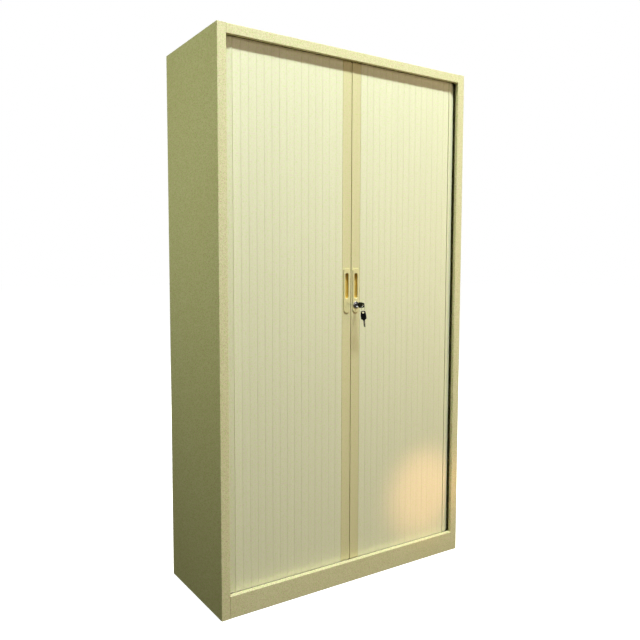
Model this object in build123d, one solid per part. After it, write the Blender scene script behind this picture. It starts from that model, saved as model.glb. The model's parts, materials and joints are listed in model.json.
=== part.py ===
"""Steel cupboard with two side-opening tambour curtains, in millimetres.

Origin: centre of the base footprint, on the floor.  +X to the right of someone who faces the
doors, +Y from the doors to the back, +Z up.
"""
from build123d import *
import math
import os

# ---------------------------------------------------------------- carcass
WIDTH = 1000.0
DEPTH = 400.0
HEIGHT = 1800.0
SHEET = 1.0                 # thickness of the folded steel sheets
BEND = 1.0                  # inside radius of a fold
JAMB_WIDTH = 30.0           # face of the side panel beside the opening
HEADER_HEIGHT = 30.0        # face of the top panel above the opening
PLINTH_HEIGHT = 72.0
FACE_RETURN = 12.0          # how far the jambs and the header turn in from the front
SILL_GAP = 0.5              # sill to the lower guide behind it
REAR_FLANGE = 25.0
FLOOR_DROP = 14.0           # cupboard floor below the top of the plinth
PANEL_GAP = 0.5             # assembly clearance round a loose panel
SUPPORT_WIDTH = 40.0        # channel that carries the middle of the floor

# ---------------------------------------------------------------- curtain guides
SLOT_WIDTH = 9.0            # across the running slot
GUIDE_WALL = 2.0
GUIDE_SETBACK = 17.0        # front face of the cupboard to the front of the guide
CORNER_RADIUS = 42.0        # of the slot's centre line
LINER_CLEARANCE = 2.0       # guide to inner liner
SIDE_CLEARANCE = 6.0        # guide to side panel
REAR_CLEARANCE = 5.5        # guide to back panel
REAR_RUN = 37.0             # straight tail of the guide behind the rear corner

# ---------------------------------------------------------------- curtain
TAIL_SLATS = 3              # slats that lie round the corner while the door is shut
SLAT_PITCH = 27.0
SLAT_GAP = 0.8
SLAT_THICKNESS = 7.0
SLAT_CROWN = 1.8            # rise of the convex face
SLAT_WALL = 1.2
SLAT_BACK_TAPER = 0.8       # each flank leans in by this much towards the back
SLAT_BACK_SLOT = 12.0       # opening between the two hooks at the back of a slat
END_PLAY = 1.0              # slat or runner to the bottom of the lower slot
TOP_PLAY = 2.0              # slat or runner to the roof of the upper slot

# ---------------------------------------------------------------- lead rails
MEETING_GAP = 2.0           # between the two shut doors
RAIL_WIDTH = 36.0
RAIL_DEPTH = 20.0
RAIL_WALL = 1.2
RAIL_EDGE = 1.6             # outer rounding of the rail's edges
RAIL_END_GAP = 1.5          # rail tube to sill or header
RUNNER_WIDTH = 30.0
RUNNER_THICKNESS = 6.0
RUNNER_GRIP = 20.0          # length of the runner inside the rail
BUFFER_SIZE = (8.0, 7.0, 30.0)

# ---------------------------------------------------------------- handles
HANDLE_WIDTH = 25.0
HANDLE_BELOW_LOCK = 27.0    # lock axis to the plate's lower end
HANDLE_ABOVE_SLOT = 16.5    # finger slot to the plate's upper end
HANDLE_PLATE = 3.0
HANDLE_TOP_RADIUS = 6.0
HANDLE_EDGE = 1.2           # rounding of the plate's rim
FINGER_SLOT_WIDTH = 13.0
FINGER_SLOT_LENGTH = 85.0
FINGER_SLOT_ABOVE_LOCK = 22.0
FINGER_SLOT_DEPTH = 10.0
FINGER_SLOT_LIP = 1.8       # chamfer round the mouth of the slot
CUP_WALL = 2.5
CUP_GAP = 0.3               # handle cup to the cut-out in the rail
BOSS_RADIUS = 9.5
BOSS_RIM = 1.5
BOSS_HEIGHT = 0.8

# ---------------------------------------------------------------- lock and keys
LOCK_HEIGHT = 964.0
BEZEL_RADIUS = 11.5
BEZEL_THICKNESS = 3.0
BARREL_RADIUS = 8.0
BARREL_LENGTH = 9.0
BARREL_GAP = 0.2            # barrel to its hole in the handle and the rail
PLUG_RADIUS = 6.0
PLUG_GAP = 0.06             # running clearance
PLUG_LENGTH = 14.8
HOOK_LENGTH = 29.0
HOOK_WIDTH = 8.0
HOOK_THICKNESS = 2.0
HOOK_SLOT_GAP = 2.0
HOOK_SLOT_BELOW = 30.0      # the hook's way through the rail walls, below the lock's axis
HOOK_SLOT_ABOVE = 6.0
KEY_THICKNESS = 2.0
KEY_BLADE_WIDTH = 5.6
KEY_BLADE_LENGTH = 24.5
KEY_INSERTED = 11.0
KEYWAY_GAP = 0.25
KEY_SHANK = 9.0             # steel inside the moulded bow
BITTING = (1.0, 1.7, 0.7, 1.4)   # depths of the cuts along the blade's edge
BIT_WIDTH = 2.2
BIT_PITCH = 3.4
BIT_START = 2.4             # tip of the blade to the middle of the first cut
BOW_LENGTH = 30.0
BOW_WIDTH = 19.0
BOW_TOP_WIDTH = 14.5        # the bow narrows towards its hole
BOW_THICKNESS = 4.5
BOW_EDGE = 0.8
BOW_CORNER = 5.5
BOW_HOLE_RADIUS = 3.6
BOW_HOLE_INSET = 5.8        # middle of the hole below the top of the bow
COLLAR_WIDTH = 8.0          # neck of the bow, where the blade comes out
COLLAR_LENGTH = 3.0
RING_RADIUS = 10.5          # to the middle of the wire
RING_WIRE = 0.7             # wire radius
RING_TURN = 25.0            # degrees from +X to the ring's plane, seen from above
RING_REST = 1.7             # wire below the middle of the hole in the bow
SPARE_TURN = 50.0           # degrees from +X to the spare key's face normal
SPARE_TILT = -7.0
SPARE_REST = 1.95           # middle of the spare key's hole below the wire

# ---------------------------------------------------------------- inside
SHELVES = 4
SHELF_LIP = 25.0
SHELF_HEM = 12.0
SHELF_FRONT_GAP = 25.0      # curtain guide to the shelf's front edge
SHELF_SIDE_GAP = 1.0
LINER_FRONT_GAP = 25.0      # curtain guide to the liner's front edge
LINER_END_GAP = 1.0         # liner to the guides above and below
FALSE_BACK_WIDTH = 80.0
FALSE_BACK_CLEARANCE = 2.5
PERFORATION_PITCH = 32.0
PERFORATION = (8.0, 4.0)    # along Y and Z
PERFORATION_MARGIN = 40.0
CLIP_INSET = 30.0           # clip columns from the liner's front and rear edges
CLIP_WIDTH = 7.0
CLIP_THICKNESS = 2.0
CLIP_LEDGE = 12.0
CLIP_HOOK = 1.5
CLIP_HOOK_HEIGHT = 14.0

# ---------------------------------------------------------------- screws at the back
SCREW_RADIUS = 1.6
SCREW_LENGTH = 6.0
SCREW_HEAD_RADIUS = 3.6
SCREW_HEAD_HEIGHT = 1.6
SCREW_HOLE_GAP = 0.1
SCREWS_PER_SIDE = 6
SCREW_END_MARGIN = 90.0

# ---------------------------------------------------------------- derived places
FRONT = -DEPTH / 2
BACK = DEPTH / 2
HALF = WIDTH / 2
OPENING_HALF = HALF - JAMB_WIDTH
OPENING_TOP = HEIGHT - HEADER_HEIGHT
FLOOR_TOP = PLINTH_HEIGHT - FLOOR_DROP
GUIDE_WIDTH = SLOT_WIDTH + 2 * GUIDE_WALL
SLOT_FRONT_Y = FRONT + GUIDE_SETBACK + GUIDE_WIDTH / 2      # slot centre line, front run
SLOT_REAR_Y = BACK - 2 * SHEET - REAR_CLEARANCE - GUIDE_WIDTH / 2
SLOT_SIDE_X = HALF - SHEET - SIDE_CLEARANCE - GUIDE_WIDTH / 2
CORNER_X = SLOT_SIDE_X - CORNER_RADIUS                      # where the front corner begins
CORNER_Y = SLOT_FRONT_Y + CORNER_RADIUS
SLAT_FRONT = SLOT_FRONT_Y - SLAT_THICKNESS / 2
SLAT_BOTTOM = FLOOR_TOP + GUIDE_WALL + END_PLAY
SLAT_TOP = HEIGHT - SHEET - GUIDE_WALL - TOP_PLAY
GUIDE_INNER_Y = SLOT_FRONT_Y + GUIDE_WIDTH / 2
LINER_X = SLOT_SIDE_X - GUIDE_WIDTH / 2 - LINER_CLEARANCE   # outer face of the liner
LINER_FRONT = GUIDE_INNER_Y + LINER_FRONT_GAP
FALSE_BACK_Y = SLOT_REAR_Y - GUIDE_WIDTH / 2 - FALSE_BACK_CLEARANCE
LINER_BOTTOM = PLINTH_HEIGHT + LINER_END_GAP
LINER_TOP = OPENING_TOP - LINER_END_GAP
RAIL_INNER = MEETING_GAP / 2
RAIL_OUTER = RAIL_INNER + RAIL_WIDTH
RAIL_MIDDLE = RAIL_INNER + RAIL_WIDTH / 2
RAIL_FRONT = SLAT_FRONT
RAIL_BACK = RAIL_FRONT + RAIL_DEPTH
RAIL_BOTTOM = PLINTH_HEIGHT + RAIL_END_GAP
RAIL_TOP = OPENING_TOP - RAIL_END_GAP
SLATS_PER_DOOR = round((CORNER_X - RAIL_OUTER) / SLAT_PITCH)
CURTAIN_END = RAIL_OUTER + SLATS_PER_DOOR * SLAT_PITCH      # edge of the last flat slat
HANDLE_FRONT = RAIL_FRONT - HANDLE_PLATE
HANDLE_BOTTOM = LOCK_HEIGHT - HANDLE_BELOW_LOCK
FINGER_SLOT_BOTTOM = LOCK_HEIGHT + FINGER_SLOT_ABOVE_LOCK
FINGER_SLOT_TOP = FINGER_SLOT_BOTTOM + FINGER_SLOT_LENGTH
HANDLE_TOP = FINGER_SLOT_TOP + HANDLE_ABOVE_SLOT
LOCK_FACE = HANDLE_FRONT - BEZEL_THICKNESS
PLUG_BACK = LOCK_FACE + PLUG_LENGTH
KEY_SHOULDER = LOCK_FACE + KEY_INSERTED - KEY_BLADE_LENGTH      # where the blade meets the bow
BOW_HOLE_ALONG = BOW_LENGTH - BOW_HOLE_INSET                    # shoulder to the hole
RING_TOP = Vector(RAIL_MIDDLE, KEY_SHOULDER - BOW_HOLE_ALONG, LOCK_HEIGHT - RING_REST)
RING_BOTTOM = RING_TOP - Vector(0, 0, 2 * RING_RADIUS)
SHELF_STEP = (OPENING_TOP - FLOOR_TOP) / (SHELVES + 1)
SHELF_FRONT = GUIDE_INNER_Y + SHELF_FRONT_GAP
SHELF_TOPS = [FLOOR_TOP + SHELF_STEP * (i + 1) for i in range(SHELVES)]
CLIP_COLUMNS = (LINER_FRONT + CLIP_INSET, FALSE_BACK_Y - CLIP_INSET)


# ---------------------------------------------------------------- helpers
def block(low, high):
    """Box between two opposite corners."""
    size = [h - l for l, h in zip(low, high)]
    middle = [(l + h) / 2 for l, h in zip(low, high)]
    return Pos(*middle) * Box(*size)


def rod(radius, start, end):
    """Cylinder from one point to another."""
    axis = Vector(*end) - Vector(*start)
    plane = Plane(origin=start, z_dir=axis)
    return extrude(plane * Circle(radius), axis.length)


def single(shape):
    """The one solid in a shape that holds exactly one."""
    solids = shape.solids()
    assert len(solids) == 1, len(solids)
    return solids[0]


def mirrored(shape):
    """The same piece for the other side of the cupboard."""
    return mirror(shape, about=Plane.YZ)


def mitre(previous, corner, following, distance):
    """Corner of a path moved sideways, to its left, by a distance."""
    into = (Vector(*corner) - Vector(*previous)).normalized()
    out = (Vector(*following) - Vector(*corner)).normalized()
    left_in = Vector(-into.Y, into.X)
    left_out = Vector(-out.Y, out.X)
    middle = left_in + left_out
    return Vector(*corner) + middle * (2 * distance / middle.dot(middle))


def folded(path):
    """Section of a bent sheet whose outer line is path, with the sheet to the left of it."""
    points = [Vector(*p) for p in path]
    start, end = points[0], points[-1]
    first = (points[1] - start).normalized()
    last = (end - points[-2]).normalized()
    inner = []
    outer_radii, inner_radii = [], []
    for before, corner, after in zip(points, points[1:], points[2:]):
        inner.append(mitre(before, corner, after, SHEET))
        turn = (corner - before).cross(after - corner).Z
        outer_radii.append(BEND + SHEET if turn > 0 else BEND)
        inner_radii.append(BEND if turn > 0 else BEND + SHEET)
    start_inner = start + Vector(-first.Y, first.X) * SHEET
    end_inner = end + Vector(-last.Y, last.X) * SHEET
    outline = [*points, end_inner, *inner[::-1], start_inner]
    radii = [0, *outer_radii, 0, 0, *inner_radii[::-1], 0]
    return make_face(FilletPolyline(*outline, radius=radii, close=True))


def screw_heights():
    """Heights of the screws down each edge of the back panel."""
    step = (HEIGHT - 2 * SCREW_END_MARGIN) / (SCREWS_PER_SIDE - 1)
    return [SCREW_END_MARGIN + step * i for i in range(SCREWS_PER_SIDE)]


def screw_places():
    """X and Z of every screw at the back."""
    x = HALF - SHEET - REAR_FLANGE / 2
    return [(side * x, z) for side in (-1, 1) for z in screw_heights()]


def screw_holes():
    """Clearance holes through the rear flange and the back panel."""
    radius = SCREW_RADIUS + SCREW_HOLE_GAP
    start, end = BACK - SCREW_LENGTH, BACK + SCREW_LENGTH
    return [rod(radius, (x, start, z), (x, end, z)) for x, z in screw_places()]


# ---------------------------------------------------------------- carcass
def side_panel():
    """Right side, folded round the front into the jamb and round the back into a flange.

    The jamb's return is notched at its top for the top sheet.
    """
    path = [
        (OPENING_HALF, FRONT + FACE_RETURN),
        (OPENING_HALF, FRONT),
        (HALF, FRONT),
        (HALF, BACK),
        (HALF - REAR_FLANGE - SHEET, BACK),
    ]
    panel = extrude(folded(path), HEIGHT)
    notch_low = (OPENING_HALF - SHEET, FRONT + SHEET, HEIGHT - SHEET)
    notch_high = (HALF - SHEET - BEND, FRONT + FACE_RETURN + SHEET, HEIGHT)
    return single(panel - block(notch_low, notch_high) - screw_holes())


def top_panel():
    """Top sheet, folded down at the front into the header and at the back into a flange.

    The two folds stop at the side panels' own flanges; wings of flat sheet reach over them.
    """
    path = [
        (BACK, HEIGHT - REAR_FLANGE),
        (BACK, HEIGHT),
        (FRONT, HEIGHT),
        (FRONT, OPENING_TOP),
        (FRONT + FACE_RETURN, OPENING_TOP),
    ]
    half = HALF - REAR_FLANGE - SHEET
    fold = extrude(Plane.YZ * folded(path), half, both=True)
    jamb_end = FRONT + FACE_RETURN + SHEET
    beside_header = block((OPENING_HALF, FRONT - SHEET, 0), (half + SHEET, jamb_end, HEIGHT + SHEET))
    fold -= [beside_header, mirrored(beside_header)]
    wing = block((OPENING_HALF, FRONT + SHEET, HEIGHT - SHEET), (HALF - SHEET, BACK - SHEET, HEIGHT))
    outer_corners = wing.edges().filter_by(Axis.Z).sort_by(Axis.X)[-2:]
    wing = fillet(outer_corners, BEND)
    return single(fold + wing + mirrored(wing))


def back_panel():
    """Loose sheet behind the flanges of the sides and the top."""
    reach = HALF - SHEET - BEND - PANEL_GAP
    top = HEIGHT - SHEET - BEND - PANEL_GAP
    panel = block((-reach, BACK - 2 * SHEET, PANEL_GAP), (reach, BACK - SHEET, top))
    return single(panel - screw_holes())


def front_plinth():
    """Kick plate between the jambs, folded in at the top into the sill."""
    path = [
        (FRONT + GUIDE_SETBACK - SILL_GAP, PLINTH_HEIGHT),
        (FRONT, PLINTH_HEIGHT),
        (FRONT, 0),
        (FRONT + REAR_FLANGE, 0),
    ]
    return single(extrude(Plane.YZ * folded(path), OPENING_HALF, both=True))


def base_pan():
    """Cupboard floor, folded down at the front and the back to stand on the ground.

    An apron of flat sheet runs on from the front fold to the plinth, under the lower guide.
    """
    front = FRONT + REAR_FLANGE + SHEET
    path = [
        (BACK - 2 * SHEET, 0),
        (BACK - 2 * SHEET, FLOOR_TOP),
        (front, FLOOR_TOP),
        (front, 0),
    ]
    half = HALF - SHEET - PANEL_GAP
    pan = extrude(Plane.YZ * folded(path), half, both=True)
    apron_low = (-OPENING_HALF, FRONT + SHEET, FLOOR_TOP - SHEET)
    apron = block(apron_low, (OPENING_HALF, front + BEND + SHEET, FLOOR_TOP))
    return single(pan + apron)


def floor_support():
    """Channel along the middle of the cupboard, welded under the floor and standing on the ground."""
    half = SUPPORT_WIDTH / 2
    top = FLOOR_TOP - SHEET
    rear = BACK - 3 * SHEET - BEND - PANEL_GAP
    front = FRONT + REAR_FLANGE + 2 * SHEET + BEND + PANEL_GAP
    plane = Plane(origin=(0, rear, 0), x_dir=(1, 0, 0), z_dir=(0, -1, 0))
    section = folded([(-half, top), (-half, 0), (half, 0), (half, top)])
    return single(extrude(plane * section, rear - front))


# ---------------------------------------------------------------- guides
def track(inner, outer):
    """Plan of a band along the slot's centre line, between two offsets from it."""
    length = SLOT_REAR_Y - SLOT_FRONT_Y
    middle = (SLOT_REAR_Y + SLOT_FRONT_Y) / 2
    big = RectangleRounded(2 * (SLOT_SIDE_X + outer), length + 2 * outer, CORNER_RADIUS + outer)
    small = RectangleRounded(2 * (SLOT_SIDE_X + inner), length + 2 * inner, CORNER_RADIUS + inner)
    rear_gap = Pos(0, SLOT_REAR_Y - middle) * Rectangle(2 * (CORNER_X - REAR_RUN), 2 * CORNER_RADIUS)
    return Pos(0, middle) * (big - small - rear_gap)


def guide(bottom, top, web_at_top):
    """Channel that both curtains run in, with its slot open away from the web."""
    wall = GUIDE_WIDTH / 2
    slot = SLOT_WIDTH / 2
    web_bottom = top - GUIDE_WALL if web_at_top else bottom
    channel = Pos(0, 0, web_bottom) * extrude(track(-wall, wall), GUIDE_WALL)
    for inner, outer in ((-wall, -slot), (slot, wall)):
        channel += Pos(0, 0, bottom) * extrude(track(inner, outer), top - bottom)
    return single(channel)


# ---------------------------------------------------------------- curtain
def slat_section():
    """Section of one slat about the slot's centre line, convex towards the front."""
    half = (SLAT_PITCH - SLAT_GAP) / 2
    back_half = half - SLAT_BACK_TAPER
    front = -SLAT_THICKNESS / 2
    edge = front + SLAT_CROWN
    back = SLAT_THICKNESS / 2
    flanks = Polyline((half, edge), (back_half, back), (-back_half, back), (-half, edge))
    face = ThreePointArc((-half, edge), (0, front), (half, edge))
    outline = make_face([*flanks.edges(), face])
    inner_half = back_half - SLAT_WALL
    spring = edge + SLAT_WALL
    walls = Polyline(
        (inner_half, spring), (inner_half, back - SLAT_WALL),
        (-inner_half, back - SLAT_WALL), (-inner_half, spring),
    )
    vault = ThreePointArc((-inner_half, spring), (0, front + SLAT_WALL), (inner_half, spring))
    hollow = make_face([*walls.edges(), vault])
    mouth = Pos(0, back) * Rectangle(SLAT_BACK_SLOT, 2 * SLAT_WALL)
    return outline - hollow - mouth


def slat(place):
    """One slat at a place in plan, from the lower slot to the upper one."""
    return single(extrude(Pos(0, 0, SLAT_BOTTOM) * place * slat_section(), SLAT_TOP - SLAT_BOTTOM))


def slat_place(number):
    """Place in plan of a slat of the right curtain, counted outwards from the lead rail.

    The curtain runs straight to the corner, round it, and on along the side.
    """
    quarter = CORNER_RADIUS * math.pi / 2
    reach = RAIL_OUTER + SLAT_PITCH * (number - 0.5)
    round_corner = min(max(reach - CORNER_X, 0), quarter)
    along_side = max(reach - CORNER_X - quarter, 0)
    middle = Pos(min(reach, CORNER_X), CORNER_Y + along_side)
    return middle * Rot(0, 0, math.degrees(round_corner / CORNER_RADIUS)) * Pos(0, -CORNER_RADIUS)


def tail_slats():
    """Slats of the right curtain that lie round the corner and along the side."""
    numbers = range(SLATS_PER_DOOR + 1, SLATS_PER_DOOR + TAIL_SLATS + 1)
    return [slat(slat_place(number)) for number in numbers]


# ---------------------------------------------------------------- lead rail
def hook_slot():
    """Way for the lock's hook through the walls of both rails where they meet."""
    depth = HOOK_THICKNESS / 2 + HOOK_SLOT_GAP
    middle = PLUG_BACK + HOOK_THICKNESS / 2
    reach = RAIL_INNER + 2 * RAIL_WALL
    low = (-reach, middle - depth, LOCK_HEIGHT - HOOK_SLOT_BELOW)
    high = (reach, middle + depth, LOCK_HEIGHT + HOOK_SLOT_ABOVE)
    return block(low, high)


def cup_box(margin):
    """Space that the handle's cup takes inside the rail, with a margin round it."""
    half = FINGER_SLOT_WIDTH / 2 + CUP_WALL + margin
    low = (RAIL_MIDDLE - half, RAIL_FRONT - margin, FINGER_SLOT_BOTTOM - CUP_WALL - margin)
    back = HANDLE_FRONT + FINGER_SLOT_DEPTH + CUP_WALL + margin
    return block(low, (RAIL_MIDDLE + half, back, FINGER_SLOT_TOP + CUP_WALL + margin))


def lead_rail():
    """Tube at the right door's leading edge, with a runner for the slot at each end."""
    tube = block((RAIL_INNER, RAIL_FRONT, RAIL_BOTTOM), (RAIL_OUTER, RAIL_BACK, RAIL_TOP))
    tube = fillet(tube.edges().filter_by(Axis.Z), RAIL_EDGE)
    core_low = (RAIL_INNER + RAIL_WALL, RAIL_FRONT + RAIL_WALL, RAIL_BOTTOM)
    core_high = (RAIL_OUTER - RAIL_WALL, RAIL_BACK - RAIL_WALL, RAIL_TOP)
    core = block(core_low, core_high)
    tube -= fillet(core.edges().filter_by(Axis.Z), RAIL_EDGE / 2)
    half_runner = RUNNER_WIDTH / 2
    runner_front = SLOT_FRONT_Y - RUNNER_THICKNESS / 2
    runner_back = SLOT_FRONT_Y + RUNNER_THICKNESS / 2
    left, right = RAIL_MIDDLE - half_runner, RAIL_MIDDLE + half_runner
    for low, high in ((SLAT_BOTTOM, RAIL_BOTTOM + RUNNER_GRIP), (RAIL_TOP - RUNNER_GRIP, SLAT_TOP)):
        tube += block((left, runner_front, low), (right, runner_back, high))
    return tube - cup_box(CUP_GAP)


def lock_hole():
    """Clearance hole for the barrel through the handle's plate and the rail's front wall."""
    start = (RAIL_MIDDLE, HANDLE_FRONT, LOCK_HEIGHT)
    end = (RAIL_MIDDLE, RAIL_FRONT + 2 * RAIL_WALL, LOCK_HEIGHT)
    return rod(BARREL_RADIUS + BARREL_GAP, start, end)


def door_buffers():
    """Rubber stops behind the lower guide that the lead rails meet just short of the corner."""
    width, depth, height = BUFFER_SIZE
    low = (CURTAIN_END, RAIL_BACK - depth, FLOOR_TOP)
    buffer = block(low, (CURTAIN_END + width, RAIL_BACK, FLOOR_TOP + height))
    buffer = fillet(buffer.edges().filter_by(Axis.Z), width / 4)
    return [single(mirrored(buffer)), single(buffer)]


# ---------------------------------------------------------------- handles
def handle_plate():
    """Moulded plate with a fully round lower end."""
    half = HANDLE_WIDTH / 2
    round_middle = HANDLE_BOTTOM + half
    square_end = round_middle + HANDLE_WIDTH
    outline = Pos(0, round_middle) * Circle(half)
    outline += Pos(0, (round_middle + square_end) / 2) * Rectangle(HANDLE_WIDTH, HANDLE_WIDTH)
    upper = RectangleRounded(HANDLE_WIDTH, HANDLE_TOP - round_middle, HANDLE_TOP_RADIUS)
    outline += Pos(0, (HANDLE_TOP + round_middle) / 2) * upper
    plane = Plane(origin=(RAIL_MIDDLE, RAIL_FRONT, 0), x_dir=(1, 0, 0), z_dir=(0, -1, 0))
    plate = extrude(plane * outline, HANDLE_PLATE)
    rim = plate.faces().sort_by(Axis.Y)[0].edges()
    return fillet(rim, HANDLE_EDGE)


def finger_slot():
    """Recess for the fingertips, round at both ends, with a chamfered mouth."""
    centre = (RAIL_MIDDLE, HANDLE_FRONT, (FINGER_SLOT_BOTTOM + FINGER_SLOT_TOP) / 2)
    plane = Plane(origin=centre, x_dir=(0, 0, 1), z_dir=(0, 1, 0))
    outline = SlotOverall(FINGER_SLOT_LENGTH, FINGER_SLOT_WIDTH)
    mouth = offset(outline, FINGER_SLOT_LIP)
    recess = extrude(plane * outline, FINGER_SLOT_DEPTH)
    return recess + extrude(plane * mouth, 2 * FINGER_SLOT_LIP, taper=45)


def handle():
    """Handle of the right door without its lock hole."""
    return handle_plate() + cup_box(0) - finger_slot()


def boss_ring():
    """Raised ring on the left handle where the right one has its lock."""
    start = (RAIL_MIDDLE, HANDLE_FRONT - BOSS_HEIGHT, LOCK_HEIGHT)
    end = (RAIL_MIDDLE, HANDLE_FRONT + BOSS_HEIGHT, LOCK_HEIGHT)
    return rod(BOSS_RADIUS, start, end) - rod(BOSS_RADIUS - BOSS_RIM, start, end)


# ---------------------------------------------------------------- lock
def lock_housing():
    """Bezel on the handle's face and barrel behind it, with the bore for the plug."""
    x, z = RAIL_MIDDLE, LOCK_HEIGHT
    bezel = rod(BEZEL_RADIUS, (x, LOCK_FACE, z), (x, HANDLE_FRONT, z))
    bezel = fillet(bezel.faces().sort_by(Axis.Y)[0].edges(), HANDLE_EDGE)
    barrel = rod(BARREL_RADIUS, (x, HANDLE_FRONT, z), (x, HANDLE_FRONT + BARREL_LENGTH, z))
    bore = rod(PLUG_RADIUS + PLUG_GAP, (x, LOCK_FACE, z), (x, PLUG_BACK, z))
    return single(bezel + barrel - bore)


def lock_plug():
    """Turning core with the keyway cut in from its face."""
    plug = rod(PLUG_RADIUS, (RAIL_MIDDLE, LOCK_FACE, LOCK_HEIGHT), (RAIL_MIDDLE, PLUG_BACK, LOCK_HEIGHT))
    half_x = KEY_THICKNESS / 2 + KEYWAY_GAP
    half_z = KEY_BLADE_WIDTH / 2 + KEYWAY_GAP
    low = (RAIL_MIDDLE - half_x, LOCK_FACE, LOCK_HEIGHT - half_z)
    high = (RAIL_MIDDLE + half_x, LOCK_FACE + KEY_INSERTED + KEYWAY_GAP, LOCK_HEIGHT + half_z)
    return single(plug - block(low, high))


def lock_hook():
    """Plate on the plug's inner end; it hangs down when unlocked."""
    half = HOOK_WIDTH / 2
    low = (RAIL_MIDDLE - half, PLUG_BACK, LOCK_HEIGHT - HOOK_LENGTH + half)
    high = (RAIL_MIDDLE + half, PLUG_BACK + HOOK_THICKNESS, LOCK_HEIGHT)
    arm = block(low, high)
    for z in (LOCK_HEIGHT, low[2]):
        arm += rod(half, (RAIL_MIDDLE, low[1], z), (RAIL_MIDDLE, high[1], z))
    return single(arm)


# ---------------------------------------------------------------- keys
# A key is drawn with X across it, its bow along +Y and its blade along -Y from the shoulder.
def key_blade():
    """Steel blade with its shank, which ends inside the bow."""
    middle = (KEY_SHANK - KEY_BLADE_LENGTH) / 2
    outline = Pos(0, middle) * Rectangle(KEY_BLADE_WIDTH, KEY_SHANK + KEY_BLADE_LENGTH)
    for number, depth in enumerate(BITTING):
        along = BIT_START + BIT_PITCH * number - KEY_BLADE_LENGTH
        outline -= Pos(-KEY_BLADE_WIDTH / 2, along) * Rectangle(2 * depth, BIT_WIDTH)
    return extrude(outline, KEY_THICKNESS / 2, both=True)


def key_bow():
    """Moulded bow, widest near the blade, with a hole for the ring and a neck round the blade."""
    wide, narrow = BOW_WIDTH / 2, BOW_TOP_WIDTH / 2
    corners = [(-wide, 0), (wide, 0), (wide, BOW_LENGTH / 2), (narrow, BOW_LENGTH)]
    corners += [(-narrow, BOW_LENGTH), (-wide, BOW_LENGTH / 2)]
    outline = make_face(FilletPolyline(*corners, radius=BOW_CORNER, close=True))
    outline -= Pos(0, BOW_HOLE_ALONG) * Circle(BOW_HOLE_RADIUS)
    bow = extrude(outline, BOW_THICKNESS / 2, both=True)
    rims = [edge for face in bow.faces().filter_by(Axis.Z) for edge in face.edges()]
    bow = fillet(rims, BOW_EDGE)
    neck = Pos(0, -COLLAR_LENGTH / 2) * Rectangle(COLLAR_WIDTH, COLLAR_LENGTH + 2 * BOW_EDGE)
    bow += extrude(neck, BOW_THICKNESS / 2 - BOW_EDGE, both=True)
    return bow - key_blade()


def key_place():
    """The key in the lock, upright, with its bow towards the front."""
    shoulder = (RAIL_MIDDLE, KEY_SHOULDER, LOCK_HEIGHT)
    return Plane(origin=shoulder, x_dir=(0, 0, 1), z_dir=(1, 0, 0)).location


def spare_place():
    """The spare key, hanging by the hole in its bow from the bottom of the ring."""
    turn = Rot(0, 0, SPARE_TURN) * Plane.YZ.location
    hang = Pos(0, -SPARE_REST - BOW_HOLE_ALONG)
    return Pos(*RING_BOTTOM) * turn * Rot(0, 0, SPARE_TILT) * hang


def key_ring():
    """Wire ring that hangs in the bow of the key in the lock."""
    centre = RING_TOP - Vector(0, 0, RING_RADIUS)
    upright = Rot(0, 0, RING_TURN) * Rot(90, 0, 0)
    return single(Pos(*centre) * upright * Torus(RING_RADIUS, RING_WIRE))


# ---------------------------------------------------------------- inside
def perforations():
    """Slots for the shelf clips, in two columns down the right liner."""
    slots = []
    count = int((LINER_TOP - LINER_BOTTOM - 2 * PERFORATION_MARGIN) / PERFORATION_PITCH) + 1
    half_y, half_z = PERFORATION[0] / 2, PERFORATION[1] / 2
    inside, outside = LINER_X - 2 * SHEET, LINER_X + SHEET
    for y in CLIP_COLUMNS:
        for number in range(count):
            z = LINER_BOTTOM + PERFORATION_MARGIN + PERFORATION_PITCH * number
            slots.append(block((inside, y - half_y, z - half_z), (outside, y + half_y, z + half_z)))
    return slots


def inner_liner():
    """Right wall of the storage space; it turns in at the back to hide the curtain's tail."""
    path = [
        (LINER_X, LINER_FRONT),
        (LINER_X, FALSE_BACK_Y),
        (LINER_X - FALSE_BACK_WIDTH, FALSE_BACK_Y),
        (LINER_X - FALSE_BACK_WIDTH, BACK - 2 * SHEET),
    ]
    wall = Pos(0, 0, LINER_BOTTOM) * extrude(folded(path), LINER_TOP - LINER_BOTTOM)
    return single(wall - perforations())


def nearest_slot(height):
    """Middle height of the perforation just under a shelf."""
    first = LINER_BOTTOM + PERFORATION_MARGIN
    return first + PERFORATION_PITCH * round((height - first) / PERFORATION_PITCH)


def shelf_height(wanted):
    """Top face of a shelf that rests on clips in the nearest perforations."""
    return nearest_slot(wanted) + CLIP_THICKNESS / 2 + SHEET


def shelf(wanted):
    """Sheet shelf with a hemmed lip at the front and the back."""
    top = shelf_height(wanted)
    path = [
        (FALSE_BACK_Y - SHEET - SHELF_HEM - SHELF_SIDE_GAP, top - SHELF_LIP),
        (FALSE_BACK_Y - SHEET - SHELF_SIDE_GAP, top - SHELF_LIP),
        (FALSE_BACK_Y - SHEET - SHELF_SIDE_GAP, top),
        (SHELF_FRONT, top),
        (SHELF_FRONT, top - SHELF_LIP),
        (SHELF_FRONT + SHELF_HEM, top - SHELF_LIP),
    ]
    half = LINER_X - SHEET - SHELF_SIDE_GAP
    return single(extrude(Plane.YZ * folded(path), half, both=True))


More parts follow.
